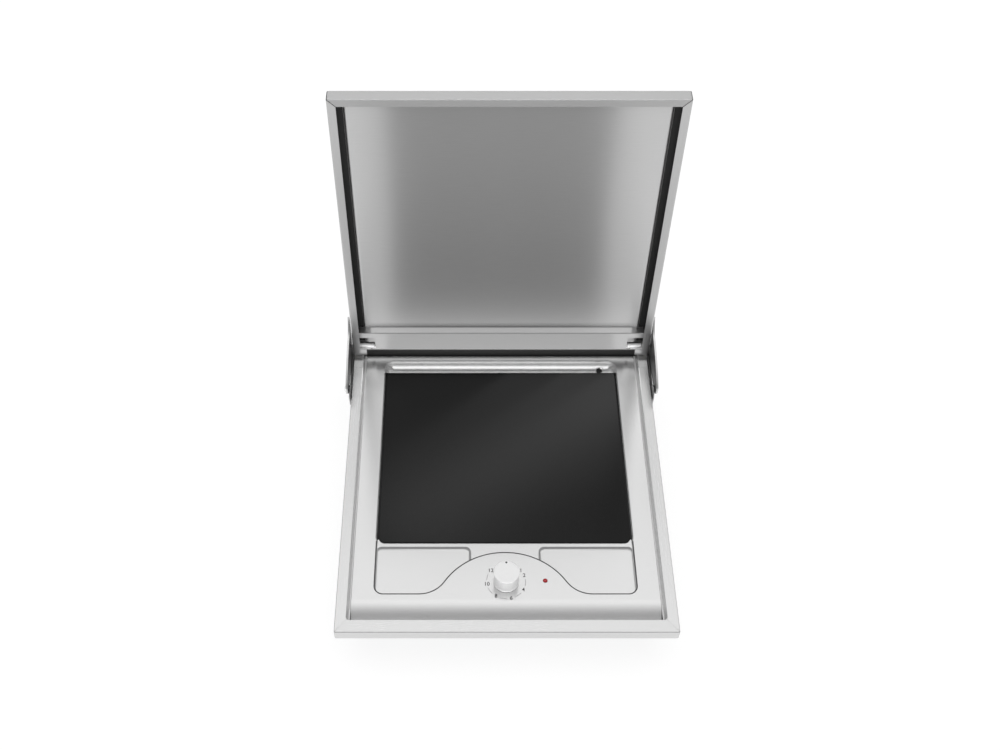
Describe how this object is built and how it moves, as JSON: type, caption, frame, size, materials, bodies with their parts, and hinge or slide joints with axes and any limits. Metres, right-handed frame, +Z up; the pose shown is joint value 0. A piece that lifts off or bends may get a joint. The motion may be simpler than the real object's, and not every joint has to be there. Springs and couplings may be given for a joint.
{
  "type": "built-in electric hot plate",
  "caption": "Built-in electric hot plate with black heated plate, front wells, rear drip trough, rotary control, pilot light and hinged steel lid.",
  "frame": {"origin": "under the middle of the bounding box, in the plane of the casing's underside", "axes": "+X to the user's right, +Y away from the user towards the hinge, +Z up"},
  "size_m": [0.499, 0.517, 0.595],
  "materials": {
    "black_damping": "matt black damping sheet",
    "black_glass_plate": "black glass-ceramic, high gloss",
    "black_plastic": "black heat-resistant moulding",
    "black_seal": "matt black silicone",
    "bright_steel": "turned and polished",
    "brushed_steel_deck": "pressed and satin brushed from side to side",
    "brushed_steel_frame": "fine brushed along each member, satin sheen",
    "brushed_steel_lid": "satin brushed sheet, soft blurred reflections",
    "element_sheath": "heat-darkened sheath",
    "galvanised_steel": "zinc-coated sheet, dull grey",
    "hinge_steel": "brushed plate with bright cut edges",
    "insulation_fibre": "soft off-white fibre board",
    "ivory_plastic": "ivory heat-resistant moulding",
    "knob_aluminium": "spun face, bright, fine circular turning lines",
    "red_lens": "red moulded lens, glossy"
  },
  "bodies": {
    "base": {"frame_front": "brushed_steel_frame", "collar_front": "galvanised_steel", "frame_left": "brushed_steel_frame", "collar_left": "galvanised_steel", "frame_right": "brushed_steel_frame", "collar_right": "galvanised_steel", "frame_rear": "brushed_steel_frame", "collar_rear": "galvanised_steel", "hob_deck": "brushed_steel_deck", "drip_trough": "brushed_steel_deck", "hot_plate": "black_glass_plate", "plate_seal": "black_seal", "plate_rail_left": "galvanised_steel", "plate_rail_right": "galvanised_steel", "heating_element": "element_sheath", "element_tray": "galvanised_steel", "insulation_pad": "insulation_fibre", "bottom_casing": "galvanised_steel", "cable_gland": "black_plastic", "terminal_block": "ivory_plastic", "drain_spout": "bright_steel", "energy_regulator": "ivory_plastic", "pilot_lens": "red_lens", "pilot_lamp_body": "black_plastic", "hinge_barrel_left": "bright_steel", "hinge_pin_left": "bright_steel", "hinge_bracket_left": "hinge_steel", "hinge_cheek_left": "hinge_steel", "cheek_spacer_left": "bright_steel", "hinge_screw_left": "bright_steel", "hinge_barrel_right": "bright_steel", "hinge_pin_right": "bright_steel", "hinge_bracket_right": "hinge_steel", "hinge_cheek_right": "hinge_steel", "cheek_spacer_right": "bright_steel", "hinge_screw_right": "bright_steel", "casing_screw_front_left": "bright_steel", "clamp_screw_front_left": "bright_steel", "worktop_clamp_front_left": "galvanised_steel", "casing_screw_front_right": "bright_steel", "clamp_screw_front_right": "bright_steel", "worktop_clamp_front_right": "galvanised_steel", "casing_screw_rear_left": "bright_steel", "clamp_screw_rear_left": "bright_steel", "worktop_clamp_rear_left": "galvanised_steel", "casing_screw_rear_right": "bright_steel", "clamp_screw_rear_right": "bright_steel", "worktop_clamp_rear_right": "galvanised_steel"},
    "lid": {"lid_panel": "brushed_steel_lid", "lid_liner": "brushed_steel_lid", "lid_damping_sheet": "black_damping", "lid_rim_front": "brushed_steel_lid", "lid_rim_left": "brushed_steel_lid", "lid_rim_right": "brushed_steel_lid", "lid_rear_rail": "brushed_steel_lid", "lid_bush_left": "ivory_plastic", "lid_bush_right": "ivory_plastic"},
    "knob": {"knob": "knob_aluminium", "knob_index": "black_plastic", "regulator_shaft": "bright_steel"}
  },
  "joints": [
    {"name": "lid_hinge", "type": "hinge", "parent": "base", "child": "lid", "pos_m": [0, 0.2487, 0.086], "axis": [1, 0, 0], "range_deg": [0, 90]},
    {"name": "knob_turn", "type": "hinge", "parent": "base", "child": "knob", "pos_m": [0.0008, -0.1716, 0.058], "axis": [0, 0, -1], "range_deg": [0, 308]}
  ]
}
